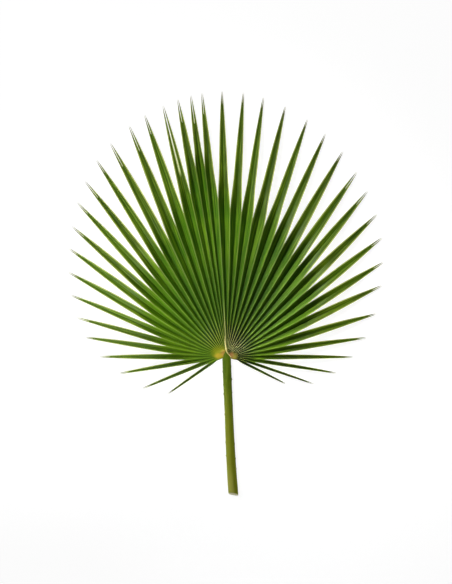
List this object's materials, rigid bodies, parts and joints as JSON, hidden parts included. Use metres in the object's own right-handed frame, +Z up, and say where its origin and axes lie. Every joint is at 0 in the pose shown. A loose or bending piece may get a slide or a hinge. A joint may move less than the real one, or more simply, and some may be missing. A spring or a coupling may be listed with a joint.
{
  "type": "fan palm leaf",
  "caption": "Cut fan palm leaf lying face up: a round pleated blade of narrow pointed segments on a toothed petiole with a small hastula.",
  "frame": {"origin": "on the surface the leaf lies on, under the middle of its bounding box", "axes": "+Z up out of the leaf's upper face, +Y from the petiole's cut end towards the fan's tips, +X across the fan"},
  "size_m": [0.4768, 0.6098, 0.0183],
  "materials": {
    "blade": "satin green leaf, pleated, with fine parallel veins",
    "petiole": "smooth olive green leaf stalk with a pale cut end",
    "hastula": "pale cream papery crest"
  },
  "bodies": {
    "root": {"blade": "blade", "petiole": "petiole", "hastula": "hastula"}
  },
  "joints": []
}
